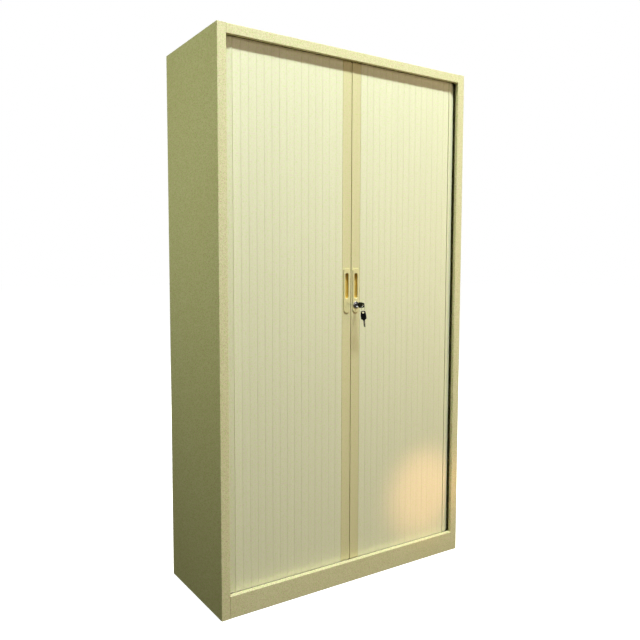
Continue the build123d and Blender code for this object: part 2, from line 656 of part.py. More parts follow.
def clip(y, wanted):
    """Steel clip: a hook behind the liner and a ledge under the shelf."""
    low, high = y - CLIP_WIDTH / 2, y + CLIP_WIDTH / 2
    bottom = nearest_slot(wanted) - CLIP_THICKNESS / 2
    inside, outside = LINER_X - SHEET - CLIP_LEDGE, LINER_X + CLIP_HOOK
    ledge = block((inside, low, bottom), (outside, high, bottom + CLIP_THICKNESS))
    hook = block((LINER_X, low, bottom), (outside, high, bottom + CLIP_HOOK_HEIGHT))
    return single(ledge + hook)


def shelf_clips():
    """Four clips under every shelf."""
    clips = [clip(y, wanted) for wanted in SHELF_TOPS for y in CLIP_COLUMNS]
    return [single(mirrored(piece)) for piece in clips] + clips


def assembly_screws():
    """Pan-head screws that hold the back panel to the side panels' rear flanges."""
    screws = []
    for x, z in screw_places():
        shank = rod(SCREW_RADIUS, (x, BACK - SCREW_LENGTH, z), (x, BACK, z))
        head = rod(SCREW_HEAD_RADIUS, (x, BACK, z), (x, BACK + SCREW_HEAD_HEIGHT, z))
        head = fillet(head.faces().sort_by(Axis.Y)[-1].edges(), SCREW_HEAD_HEIGHT / 2)
        screws.append(single(shank + head))
    return screws


# ---------------------------------------------------------------- all nodes
def build_nodes():
    nodes = {}
    side = side_panel()
    nodes["left_side_panel"] = mirrored(side)
    nodes["right_side_panel"] = side
    nodes["top_panel"] = top_panel()
    nodes["back_panel"] = back_panel()
    nodes["front_plinth"] = front_plinth()
    nodes["base_pan"] = [base_pan(), floor_support()]
    liner = inner_liner()
    nodes["left_inner_liner"] = mirrored(liner)
    nodes["right_inner_liner"] = liner
    for number, wanted in enumerate(SHELF_TOPS, start=1):
        nodes[f"shelf_{number}"] = shelf(wanted)
    nodes["shelf_clips"] = shelf_clips()
    nodes["lower_guide"] = guide(FLOOR_TOP, PLINTH_HEIGHT, web_at_top=False)
    nodes["upper_guide"] = guide(OPENING_TOP + SHEET, HEIGHT - SHEET, web_at_top=True)
    nodes["door_buffers"] = door_buffers()
    nodes["assembly_screws"] = assembly_screws()
    tail = tail_slats()
    nodes["tail_slats"] = [mirrored(piece) for piece in tail] + tail
    for number in range(1, SLATS_PER_DOOR + 1):
        piece = slat(slat_place(number))
        nodes[f"left_slat_{number:02d}"] = mirrored(piece)
        nodes[f"right_slat_{number:02d}"] = piece
    rail = lead_rail() - hook_slot()
    nodes["left_lead_rail"] = mirrored(rail)
    nodes["right_lead_rail"] = rail - lock_hole()
    plain_handle = handle()
    nodes["left_handle"] = mirrored(plain_handle + boss_ring())
    nodes["right_handle"] = plain_handle - lock_hole()
    nodes["lock_housing"] = lock_housing()
    nodes["lock_plug"] = lock_plug()
    nodes["lock_hook"] = lock_hook()
    for prefix, place in (("", key_place()), ("spare_", spare_place())):
        nodes[f"{prefix}key"] = place * key_blade()
        nodes[f"{prefix}key_head"] = place * key_bow()
    nodes["key_ring"] = key_ring()
    return nodes


def write_nodes():
    os.makedirs("parts", exist_ok=True)
    for name, shape in build_nodes().items():
        pieces = shape if isinstance(shape, list) else shape.solids()
        solids = [solid for piece in pieces for solid in piece.solids()]
        whole = solids[0] if len(solids) == 1 else Compound(children=solids)
        export_step(whole, f"parts/{name}.step")


write_nodes()
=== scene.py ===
"""Looks of the tambour door cupboard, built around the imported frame.  Metres, +Z up."""
import json
import math

import bmesh
import bpy
from mathutils import Matrix, Vector
from mathutils.geometry import delaunay_2d_cdt


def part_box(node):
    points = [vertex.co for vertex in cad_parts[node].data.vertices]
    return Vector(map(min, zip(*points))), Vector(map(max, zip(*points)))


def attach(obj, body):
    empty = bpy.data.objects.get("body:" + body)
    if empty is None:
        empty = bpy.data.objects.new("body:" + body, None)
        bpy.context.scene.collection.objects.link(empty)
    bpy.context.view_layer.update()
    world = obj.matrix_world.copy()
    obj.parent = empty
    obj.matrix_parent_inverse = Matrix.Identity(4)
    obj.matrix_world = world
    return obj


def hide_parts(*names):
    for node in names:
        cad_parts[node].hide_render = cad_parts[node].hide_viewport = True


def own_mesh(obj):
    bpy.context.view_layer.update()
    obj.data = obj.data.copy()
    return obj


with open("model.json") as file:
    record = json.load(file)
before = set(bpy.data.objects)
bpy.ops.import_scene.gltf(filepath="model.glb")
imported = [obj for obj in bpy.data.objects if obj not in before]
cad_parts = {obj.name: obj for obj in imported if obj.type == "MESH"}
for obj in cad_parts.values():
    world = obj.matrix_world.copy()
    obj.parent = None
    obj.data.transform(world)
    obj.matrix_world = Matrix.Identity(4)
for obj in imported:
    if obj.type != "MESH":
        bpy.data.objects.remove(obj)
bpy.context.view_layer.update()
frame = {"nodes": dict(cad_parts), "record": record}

# ---------------------------------------------------------------- curtain
SLATS = 15                    # flat slats in each curtain
TAIL_SLATS = 3
SLAT_CROWN = 0.0005           # rise of the convex face
SLAT_WALL = 0.0012
SLAT_TAPER = 0.0008           # each flank leans in towards the back
SLAT_MOUTH = 0.012            # opening at the back of the slat
SLAT_EDGE = 0.0005            # rounding where face and flank meet
SLAT_TONGUE = (0.0006, 0.0003, 0.0012)    # reach, depth below the face, thickness
LAST_TONGUE = 0.00005         # reach of the tongue on a curtain's last flat slat
CORNER_RADIUS = 0.042         # of the guide's slot, at its centre line
GUIDE_HALF = 0.0065           # half of the guide's width

# ---------------------------------------------------------------- handles
PLATE_THICKNESS = 0.003
PLATE_TOP_RADIUS = 0.006
PLATE_RIM = 0.0012
SLOT_HALF = 0.0065            # half width of the finger slot
SLOT_ABOVE_BOSS = 0.022
SLOT_LENGTH = 0.085
SLOT_DEPTH = 0.010
SLOT_LIP = 0.0018
SLOT_FOOT = 0.0022            # rounding where the slot's walls meet its floor
CUP_WALL = 0.0025
BARREL_HOLE = 0.0082
BOSS_RADIUS = 0.0095
BOSS_WIDTH = 0.0015
BOSS_HEIGHT = 0.0008
BOSS_ROUND = 0.0004

# ---------------------------------------------------------------- lock and keys
BEZEL_RADIUS = 0.0115
BEZEL_SIDE = 0.0013           # straight part of the bezel's rim
BEZEL_LAND = 0.0076           # where the dome ends at the flat round the plug
LAND_SINK = 0.0002            # the flat lies this far below the lock's face
LAND_RIM = (0.0006, 0.0002)   # where the raised rim round the plug starts and peaks, from its bore
BARREL_RADIUS = 0.008
BARREL_LENGTH = 0.009
PLUG_RADIUS = 0.006
PLUG_GAP = 0.00006
PLUG_CHAMFER = 0.0004
PLUG_LENGTH = 0.0148
KEYWAY = (0.00125, 0.00305)   # half width and half height
KEYWAY_DEPTH = 0.01125
BOW_LENGTH = 0.030
BOW_HALF = 0.0095
BOW_TOP_HALF = 0.00725
BOW_THICKNESS = 0.0045
BOW_EDGE = 0.0009
BOW_CORNER = 0.0055
BOW_HOLE = 0.0036
BOW_HOLE_ALONG = 0.0242       # shoulder to the hole
BOW_PANEL = 0.0022            # margin round the sunk panel in each face
BOW_PANEL_DEPTH = 0.0003
BOW_PANEL_END = 0.0185
BOW_COLLAR = (0.004, 0.003)   # half width and length of the neck
COLLAR_CORNERS = (0.0008, 0.0004)    # radii at the blade's end and at the bow's end
COLLAR_EDGE = 0.0003
BLADE_HALF = 0.0028
BLADE_LENGTH = 0.0245
BLADE_SHANK = 0.009
BLADE_THICKNESS = 0.002
BLADE_GROOVE = 0.0005         # depth and half width of the groove
GROOVE_ASIDE = 0.0006         # groove's near edge from the blade's middle
GROOVE_TIP = 0.0016           # end of the groove from the blade's tip
BITTING = (0.0010, 0.0017, 0.0007, 0.0014)
BIT_HALF = 0.0011
BIT_FLOOR = 0.35              # share of a cut's width that its floor takes
BIT_PITCH = 0.0034
BIT_START = 0.0030
RING_RADIUS = 0.0105
RING_WIRE = 0.0007
RING_TURNS = 2
RING_STEPS = 72               # stations along each turn
RING_SEAM = math.pi * 0.6     # angle at which the wire starts
RING_DRIFT = 0.96             # sideways run of the wire over all its turns, as a share of its thickness
RING_TURN = math.radians(25)
RING_REST = 0.0017
SPARE_TURN = math.radians(50)
SPARE_TILT = math.radians(-7)
SPARE_REST = 0.00195

# ---------------------------------------------------------------- facets of each curve
FACE_FACETS, VAULT_FACETS = 12, 8     # a slat's face, and the hollow behind it
PLATE_FACETS = 16             # each corner of a handle's plate
RIM_FACETS = 6                # the plate's rim and the finger slot's lip
SLOT_FACETS = 12              # each quarter of the finger slot's outline
FOOT_FACETS = 5
BOSS_FACETS = 4
TURNED_FACETS = 64            # whole turns of the handle's boss, the bezel, the barrel and the plug
DOME_FACETS = 10
SMALL_FACETS = 3              # corners of the keyway and of the bow's neck
BOW_FACETS = 8                # corners of the bow and its panels
BOW_EDGE_FACETS = 5
HOLE_FACETS = 40              # whole turn of the bow's hole
HOLE_EDGE_FACETS = 4
WIRE_FACETS = 12

# ---------------------------------------------------------------- camera
CAMERA_PLACE = (-1.3551, -2.0247, 1.0830)
CAMERA_YAW = math.radians(33.666)      # from +Y towards +X
CAMERA_PITCH = math.radians(4.280)     # below the horizon
CAMERA_ROLL = math.radians(0.141)
SENSOR_WIDTH = 36.0
CAMERA_LENS = 37.749                   # millimetres, on that square sensor

# ---------------------------------------------------------------- lights: place, target, size, watts, colour
LIGHTS = {
    "key": ((0.25, -2.0, 4.97), (0.0, -0.2, 1.1), (1.30, 0.30), 257.0, (0.89, 0.985, 0.95)),
    "front_fill": ((0.6, -4.6, 2.6), (0.0, -0.2, 1.0), (2.0, 1.6), 36.0, (1.0, 0.90, 0.76)),
    "right_fill": ((2.3, -2.8, 1.1), (0.1, -0.2, 0.8), (1.2, 1.0), 31.0, (1.0, 0.72, 0.44)),
    "left_fill": ((-2.15, 0.05, 1.75), (-0.5, 0.0, 1.3), (0.8, 0.8), 16.0, (0.86, 0.93, 0.62)),
    "back_fill": ((1.6, 3.6, 3.2), (0.0, 0.2, 0.9), (1.6, 1.2), 160.0, (1.0, 0.98, 0.90)),
}
GLOW = ((0.90, -1.90, 0.45), (0.345, -0.18, 0.25), 12.5, 62.0, (1.0, 0.50, 0.28))    # spot: degrees, watts
GLOW_BLEND = 0.8              # softness of the spot's rim
GLOW_RADIUS = 0.06
MATT_LAMPS = ("right_fill", "warm_glow")    # these give no highlights
SKY = (0.06, (1.0, 0.98, 0.86))        # strength and colour of what the object sees above
GROUND = (0.04, (1.0, 0.80, 0.40))     # and below
HORIZON = (-0.5, 0.6)         # heights of the view direction between which the ground turns into sky
BACKDROP = 1.0
FLOOR_GLOW = 0.96
FLOOR_GREY = 0.80
FLOOR_REACH = 40.0

# ---------------------------------------------------------------- colours (linear)
PAINT_TONE = (0.83, 0.79, 0.54)
SLAT_TONE = (0.86, 0.857, 0.642)
RAIL_TONE = (0.77, 0.72, 0.44)
HANDLE_TONE = (0.77, 0.71, 0.38)
# painted shade: the golden brown that the inside of the finger slot turns to
RECESS_SHADE_TONE = (0.80, 0.60, 0.16)
INNER_TONE = (0.62, 0.60, 0.40)
GUIDE_TONE = (0.055, 0.045, 0.030)
BLACK_PLASTIC = (0.004, 0.004, 0.005)
STEEL_TONE = (0.62, 0.60, 0.55)
CHROME_TONE = (0.60, 0.58, 0.63)
RUBBER_TONE = (0.02, 0.02, 0.02)

# ---------------------------------------------------------------- scale of each noise pattern, per metre
CLOUDS, SPECKLE, PEPPER, ORANGE_PEEL, COAT_SHEEN = 4.0, 210.0, 900.0, 650.0, 40.0
DRAW_BANDS, DRAW_LINES, PLASTIC_GRAIN, SATIN = 34.0, 420.0, 200.0, 30.0
MOTTLING, MOULD_SHEEN, SPARK_GRAIN, STAIN = 60.0, 300.0, 1500.0, 90.0
SCRATCHES, DULLING = 800.0, 90.0


# ---------------------------------------------------------------- node helpers
MIX_FACTOR, MIX_FIRST, MIX_SECOND = 0, 6, 7    # inputs of a Mix node that mixes colours
MIX_RESULT = 2                                 # and its output


class Shader:
    """A material under construction, with short calls for the nodes that this scene uses."""

    def __init__(self, name):
        self.material = bpy.data.materials.new(name)
        self.material.use_nodes = True
        self.tree = self.material.node_tree
        self.bsdf = self.tree.nodes["Principled BSDF"]
        self.place = self.tree.nodes.new("ShaderNodeTexCoord").outputs["Object"]

    def add(self, kind, **settings):
        node = self.tree.nodes.new(kind)
        for key, value in settings.items():
            setattr(node, key, value)
        return node

    def link(self, source, target):
        self.tree.links.new(source, target)

    def noise(self, scale, detail, stretch=(1, 1, 1), roughness=0.5):
        """Noise over the object; a factor of stretch below 1 draws its pattern out along that axis."""
        mapping = self.add("ShaderNodeMapping")
        mapping.inputs["Scale"].default_value = stretch
        self.link(self.place, mapping.inputs["Vector"])
        node = self.add("ShaderNodeTexNoise")
        node.inputs["Scale"].default_value = scale
        node.inputs["Detail"].default_value = detail
        node.inputs["Roughness"].default_value = roughness
        self.link(mapping.outputs["Vector"], node.inputs["Vector"])
        return node.outputs["Fac"]

    def remap(self, value, low, high, to_low, to_high, smooth=False):
        """A value's range from low to high, turned into one from to_low to to_high, and held there."""
        node = self.add("ShaderNodeMapRange")
        node.interpolation_type = "SMOOTHSTEP" if smooth else "LINEAR"
        limits = (("From Min", low), ("From Max", high), ("To Min", to_low), ("To Max", to_high))
        for name, number in limits:
            node.inputs[name].default_value = number
        self.link(value, node.inputs["Value"])
        return node.outputs["Result"]

    def along(self, axis):
        """One coordinate of the surface at rest, in the shared frame."""
        split = self.add("ShaderNodeSeparateXYZ")
        self.link(self.place, split.inputs[0])
        return split.outputs[axis]

    def mix(self, factor, first, second):
        """Colour mix; the factor is a socket, and first and second are sockets or plain colours."""
        node = self.add("ShaderNodeMix", data_type="RGBA")
        self.link(factor, node.inputs[MIX_FACTOR])
        for number, value in ((MIX_FIRST, first), (MIX_SECOND, second)):
            self.fill(node.inputs[number], value)
        return node.outputs[MIX_RESULT]

    def bump(self, value, strength, distance):
        node = self.add("ShaderNodeBump")
        node.inputs["Strength"].default_value = strength
        node.inputs["Distance"].default_value = distance
        self.link(value, node.inputs["Height"])
        self.link(node.outputs["Normal"], self.bsdf.inputs["Normal"])

    def fill(self, socket, value):
        """Feed a socket from another one, or set it to a colour or a number."""
        if isinstance(value, bpy.types.NodeSocket):
            self.link(value, socket)
        elif isinstance(value, tuple):
            socket.default_value = (*value, 1.0)
        else:
            socket.default_value = value

    def set(self, **values):
        """Set the shader's own inputs, by their names with _ for a space."""
        for name, value in values.items():
            self.fill(self.bsdf.inputs[name.replace("_", " ")], value)


def shade(tone, amount):
    """A tone made darker by a factor."""
    return tuple(c * amount for c in tone)


def powder_coat(name, tone, rough):
    """Textured powder coat on steel: orange peel and fine two-tone speckle."""
    shader = Shader(name)
    warm = (tone[0] * 0.96, tone[1] * 0.86, tone[2] * 0.72)
    green = (tone[0] * 0.90, tone[1] * 0.99, tone[2] * 0.66)
    cloud = shader.remap(shader.noise(CLOUDS, 4.0), 0.35, 0.65, 0.0, 0.22)
    colour = shader.mix(cloud, tone, warm)
    grain = shader.noise(SPECKLE, 1.0, stretch=(1, 0.45, 1), roughness=0.6)
    colour = shader.mix(shader.remap(grain, 0.49, 0.62, 0.0, 1.0), colour, shade(green, 0.84))
    colour = shader.mix(shader.remap(grain, 0.48, 0.35, 0.0, 0.9), colour, shade(warm, 0.78))
    pepper = shader.remap(shader.noise(PEPPER, 1.0), 0.58, 0.75, 0.0, 0.30)
    colour = shader.mix(pepper, colour, shade(tone, 0.62))
    shader.set(Base_Color=colour)
    shader.set(Roughness=shader.remap(shader.noise(COAT_SHEEN, 3.0), 0.3, 0.7, rough - 0.05, rough + 0.08))
    shader.bump(shader.noise(ORANGE_PEEL, 3.0), 0.14, 0.0004)
    return shader.material


def extruded_plastic(name, tone, rough):
    """Satin plastic with faint draw lines along its length."""
    shader = Shader(name)
    broad = shader.noise(DRAW_BANDS, 1.0, stretch=(1, 0.1, 0.01))
    colour = shader.mix(shader.remap(broad, 0.35, 0.65, 0.0, 0.30), tone, shade(tone, 0.93))
    lines = shader.noise(DRAW_LINES, 2.0, stretch=(1, 1, 0.004))
    colour = shader.mix(shader.remap(lines, 0.35, 0.7, 0.0, 0.35), colour, shade(tone, 0.86))
    grain = shader.noise(PLASTIC_GRAIN, 1.5, stretch=(1, 1, 0.7), roughness=0.6)
    rose = (tone[0] * 0.93, tone[1] * 0.85, tone[2] * 0.87)
    lime = (tone[0] * 0.86, tone[1] * 0.93, tone[2] * 0.68)
    colour = shader.mix(shader.remap(grain, 0.50, 0.64, 0.0, 0.8), colour, lime)
    colour = shader.mix(shader.remap(grain, 0.47, 0.34, 0.0, 0.8), colour, rose)
    shader.set(Base_Color=colour)
    satin = shader.noise(SATIN, 3.0, stretch=(1, 1, 0.05))
    shader.set(Roughness=shader.remap(satin, 0.3, 0.7, rough - 0.05, rough + 0.07))
    shader.bump(lines, 0.10, 0.0003)
    return shader.material


def mould_finish(shader, rough):
    """Sheen and fine grain that a spark-eroded mould leaves."""
    sheen = shader.noise(MOULD_SHEEN, 2.0)
    shader.set(Roughness=shader.remap(sheen, 0.3, 0.7, rough - 0.04, rough + 0.06))
    shader.bump(shader.noise(SPARK_GRAIN, 2.0), 0.06, 0.0002)


def moulded_plastic(name, tone, rough, gloss=0.5):
    """Smooth moulded plastic, faintly mottled."""
    shader = Shader(name)
    mottling = shader.remap(shader.noise(MOTTLING, 3.0), 0.3, 0.7, 0.0, 0.05)
    shader.set(Base_Color=shader.mix(mottling, tone, shade(tone, 0.55)), Specular_IOR_Level=gloss)
    mould_finish(shader, rough)
    return shader.material


def handle_plastic(name, tone, recess_shade, face, floor, rough):
    """Moulded plastic whose finger slot turns golden brown between the plate's face and the slot's floor:
    painted shade that deepens into the slot, with random stains in it.
    """
    shader = Shader(name)
    mottling = shader.remap(shader.noise(MOTTLING, 3.0), 0.3, 0.7, 0.0, 0.08)
    colour = shader.mix(mottling, tone, shade(tone, 0.7))
    start = face + SLOT_LIP * 0.6
    # painted shade: the colour turns golden brown from just inside the lip to halfway down the slot
    depth = shader.remap(shader.along("Y"), start, (face + floor) / 2, 0.0, 1.0, smooth=True)
    stain = shader.remap(shader.noise(STAIN, 3.0, stretch=(1, 1, 0.25)), 0.3, 0.7, 0.0, 0.35)
    inside = shader.mix(stain, recess_shade, shade(recess_shade, 0.72))
    shader.set(Base_Color=shader.mix(depth, colour, inside))
    mould_finish(shader, rough)
    return shader.material


def bare_metal(name, tone, rough, brushed=(1, 1, 1)):
    """Plated or brushed metal with fine scratches along one axis."""
    shader = Shader(name)
    scratches = shader.noise(SCRATCHES, 2.0, stretch=brushed)
    dull = shader.remap(shader.noise(DULLING, 3.0), 0.35, 0.7, 0.0, 0.25)
    shader.set(Base_Color=shader.mix(dull, tone, shade(tone, 0.7)), Metallic=1.0)
    shader.set(Roughness=shader.remap(scratches, 0.3, 0.7, rough - 0.04, rough + 0.10))
    shader.bump(scratches, 0.05, 0.0001)
    return shader.material


HANDLE_LOW, HANDLE_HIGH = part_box("right_handle")
LOCK_LOW, LOCK_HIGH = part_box("lock_housing")
PLATE_FACE = HANDLE_LOW.y
LOCK_X = (LOCK_LOW.x + LOCK_HIGH.x) / 2
LOCK_Z = (LOCK_LOW.z + LOCK_HIGH.z) / 2

MATERIALS = {
    "cream_paint": powder_coat("cream_paint", PAINT_TONE, rough=0.42),
    "inner_paint": powder_coat("inner_paint", INNER_TONE, rough=0.5),
    "slat_plastic": extruded_plastic("slat_plastic", SLAT_TONE, rough=0.38),
    "rail_plastic": extruded_plastic("rail_plastic", RAIL_TONE, rough=0.38),
    # the handle's finger slot carries painted shade
    "handle_plastic": handle_plastic(
        "handle_plastic", HANDLE_TONE, RECESS_SHADE_TONE, PLATE_FACE, PLATE_FACE + SLOT_DEPTH, rough=0.26
    ),
    "guide_plastic": moulded_plastic("guide_plastic", GUIDE_TONE, rough=0.45),
    "lock_chrome": bare_metal("lock_chrome", CHROME_TONE, rough=0.27),
    "key_steel": bare_metal("key_steel", STEEL_TONE, rough=0.26, brushed=(1, 1, 0.05)),
    "key_plastic": moulded_plastic("key_plastic", BLACK_PLASTIC, rough=0.42, gloss=0.22),
    "clip_steel": bare_metal("clip_steel", STEEL_TONE, rough=0.34),
    "buffer_rubber": moulded_plastic("buffer_rubber", RUBBER_TONE, rough=0.7),
}


def paint_cad_nodes():
    """Give every CAD node the material of its slot in the record."""
    for part in frame["record"]["subparts"]:
        node = frame["nodes"][part["node"]]
        material = MATERIALS[part["material_slot"]]
        if not node.material_slots:
            node.data.materials.append(material)
        for slot in node.material_slots:
            slot.material = material


# ---------------------------------------------------------------- mesh helpers
SAME_POINT = 1e-7             # corners of an outline nearer than this are one
CAP_GAP = 1e-8                # and so are corners of a cap


def inside(point, outline):
    """Whether a point lies inside a closed outline, by the number of sides to its right."""
    odd = False
    for i, end in enumerate(outline):
        start = outline[i - 1]
        if (start.y > point.y) != (end.y > point.y):
            if point.x < start.x + (end.x - start.x) * (point.y - start.y) / (end.y - start.y):
                odd = not odd
    return odd


class Skin:
    """A closed mesh under construction, made of loops of points that are bridged and capped.

    The points are given in the piece's own frame, which place sets in the shared one.
    """

    def __init__(self, place):
        self.shape = bmesh.new()
        self.place = place

    def loop(self, points):
        return [self.shape.verts.new(self.place @ Vector(point)) for point in points]

    def bridge(self, first, second):
        for i in range(len(first)):
            self.shape.faces.new((first[i - 1], first[i], second[i], second[i - 1]))

    def run(self, loops):
        """Bridge each loop to the next; the last loop is given back."""
        for first, second in zip(loops, loops[1:]):
            self.bridge(first, second)
        return loops[-1]

    def cap(self, *loops):
        """Flat face inside the first loop, with the others as holes in it."""
        verts = [vert for loop in loops for vert in loop]
        back = self.place.inverted()
        local = [back @ vert.co for vert in verts]
        spans = [max(point[k] for point in local) - min(point[k] for point in local) for k in range(3)]
        u, v = sorted(range(3), key=lambda k: -spans[k])[:2]
        flat = [Vector((point[u], point[v])) for point in local]
        edges, outlines, start = [], [], 0
        for loop in loops:
            count = len(loop)
            edges += [(start + i, start + (i + 1) % count) for i in range(count)]
            outlines.append(flat[start:start + count])
            start += count
        spots, _, faces, sources, *_ = delaunay_2d_cdt(flat, edges, [], 0, CAP_GAP)
        for face in faces:
            centre = sum((spots[i] for i in face), Vector((0, 0))) / len(face)
            if inside(centre, outlines[0]) and not any(inside(centre, hole) for hole in outlines[1:]):
                self.shape.faces.new([verts[sources[i][0]] for i in face])

    def finish(self, name, slot, crease=40):
        """The object, with soft shading across its small facets and flat shading on its large faces."""
        bmesh.ops.recalc_face_normals(self.shape, faces=self.shape.faces)
        mesh = bpy.data.meshes.new(name)
        self.shape.to_mesh(mesh)
        self.shape.free()
        piece = bpy.data.objects.new(name, mesh)
        bpy.context.scene.collection.objects.link(piece)
        mesh.materials.append(MATERIALS[slot])
        for polygon in mesh.polygons:
            polygon.use_smooth = True
        mesh.set_sharp_from_angle(angle=math.radians(crease))
        weighted = piece.modifiers.new("weighted_normals", "WEIGHTED_NORMAL")
        weighted.keep_sharp = True
        return piece


def rounded(corners, inset, steps):
    """Convex outline, counter-clockwise, of corners (x, y, radius), taken in by an inset."""
    points = []
    for i, (x, y, radius) in enumerate(corners):
        before, corner = Vector(corners[i - 1][:2]), Vector((x, y))
        after = Vector(corners[(i + 1) % len(corners)][:2])
        into, out = (corner - before).normalized(), (after - corner).normalized()
        start = math.atan2(-into.x, into.y)
        turn = math.acos(max(-1.0, min(1.0, into.dot(out))))
        normal = Vector((into.y, -into.x))
        centre = corner - into * (radius * math.tan(turn / 2)) - normal * radius
        for k in range(steps + 1):
            angle = start + turn * k / steps
            points.append(centre + Vector((math.cos(angle), math.sin(angle))) * (radius - inset))
    return [point for i, point in enumerate(points) if (point - points[i - 1]).length > SAME_POINT]


def circle(radius, count):
    """Points of a circle about the origin."""
    angles = [math.tau * k / count for k in range(count)]
    return [(radius * math.cos(a), radius * math.sin(a)) for a in angles]


def quarter(steps):
    """Sine and 1 - cosine of the angles of a quarter turn."""
    angles = [math.pi / 2 * k / steps for k in range(steps + 1)]
    return [(math.sin(a), 1 - math.cos(a)) for a in angles]


def lathe(skin, profile):
    """Surface of revolution about local Z through a closed profile of (radius, z)."""
    loops = [skin.loop([(x, y, z) for x, y in circle(radius, TURNED_FACETS)]) for radius, z in profile]
    skin.run([*loops, loops[0]])


def put(piece, body, *nodes):
    """Make a finished piece move with a body and stand for CAD nodes."""
    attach(piece, body)
    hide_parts(*nodes)


# ---------------------------------------------------------------- curtain
def arch(half, edge, rise, count):
    """Points of a shallow arch from x = -half to half; its feet are at y = edge and it rises towards -Y."""
    radius = (half * half + rise * rise) / (2 * rise)
    reach = math.asin(half / radius)
    angles = [-reach + 2 * reach * i / count for i in range(count + 1)]
    return [(radius * math.sin(a), edge + (radius - rise) - radius * math.cos(a)) for a in angles]


def slat_outline(width, depth, sign, joined=True):
    """Section of a slat about its middle: convex face, a tongue on its outer flank, hooked channel behind."""
    half = width / 2
    back_half = half - SLAT_TAPER
    front, back = -depth / 2, depth / 2
    edge = front + SLAT_CROWN
    face = arch(half - SLAT_EDGE / 2, edge - SLAT_EDGE / 3, SLAT_CROWN - SLAT_EDGE / 3, FACE_FACETS)
    reach, sunk, thick = SLAT_TONGUE
    reach = half + (reach if joined else LAST_TONGUE)
    tongue = [(half, edge + sunk), (reach, edge + sunk), (reach, edge + sunk + thick)]
    flank = [(half - SLAT_TAPER / 2, edge + sunk + thick), (back_half, back)]
    outer = [*face, (half, edge + SLAT_EDGE / 2), *tongue, *flank]
    mouth = SLAT_MOUTH / 2
    inner_half = back_half - SLAT_WALL
    vault = arch(inner_half, edge + SLAT_WALL, SLAT_CROWN, VAULT_FACETS)
    hook = back - SLAT_WALL
    inner = [(mouth, back), (mouth, hook), (inner_half, hook), *vault[::-1]]
    inner += [(-inner_half, hook), (-mouth, hook), (-mouth, back)]
    section = [*outer, *inner, (-back_half, back), (-half, edge + SLAT_EDGE / 2)]
    return [(sign * x, y) for x, y in section]


def build_slat(name, outline, bottom, top, place):
    """One slat, straight up over its section."""
    skin = Skin(place)
    lower = skin.loop([(x, y, bottom) for x, y in outline])
    upper = skin.loop([(x, y, top) for x, y in outline])
    skin.bridge(lower, upper)
    skin.shape.faces.new(lower)
    skin.shape.faces.new(upper)
    return skin.finish(name, "slat_plastic", crease=32)


def build_slats(side, sign):
    """The flat slats of one curtain; each flattens into the stack behind the jamb as its door opens."""
    for number in range(1, SLATS + 1):
        node = f"{side}_slat_{number:02d}"
        low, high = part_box(node)
        middle = (low + high) / 2
        outline = slat_outline(high.x - low.x, high.y - low.y, sign, joined=number < SLATS)
        place = Matrix.Translation((middle.x, middle.y, 0))
        piece = build_slat(f"{side}_slat_shell_{number:02d}", outline, low.z, high.z, place)
        put(piece, node, node)
        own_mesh(piece)


def build_tail():
    """The slats that always lie round each corner."""
    low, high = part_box(f"right_slat_{SLATS:02d}")
    pitch = low.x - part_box(f"right_slat_{SLATS - 1:02d}")[0].x
    middle = (low + high) / 2
    corner_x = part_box("upper_guide")[1].x - GUIDE_HALF - CORNER_RADIUS
    bend = CORNER_RADIUS * math.pi / 2
    for sign, side in ((-1, "left"), (1, "right")):
        outline = slat_outline(high.x - low.x, high.y - low.y, sign)
        for number in range(1, TAIL_SLATS + 1):
            reach = middle.x + pitch * number - corner_x
            angle = min(reach, bend) / CORNER_RADIUS
            beyond = max(reach - bend, 0)
            place = (
                Matrix.Translation((sign * corner_x, middle.y + CORNER_RADIUS + beyond, 0))
                @ Matrix.Rotation(sign * angle, 4, "Z")
                @ Matrix.Translation((0, -CORNER_RADIUS, 0))
            )
            piece = build_slat(f"{side}_tail_slat_{number}", outline, low.z, high.z, place)
            put(piece, "root", "tail_slats")


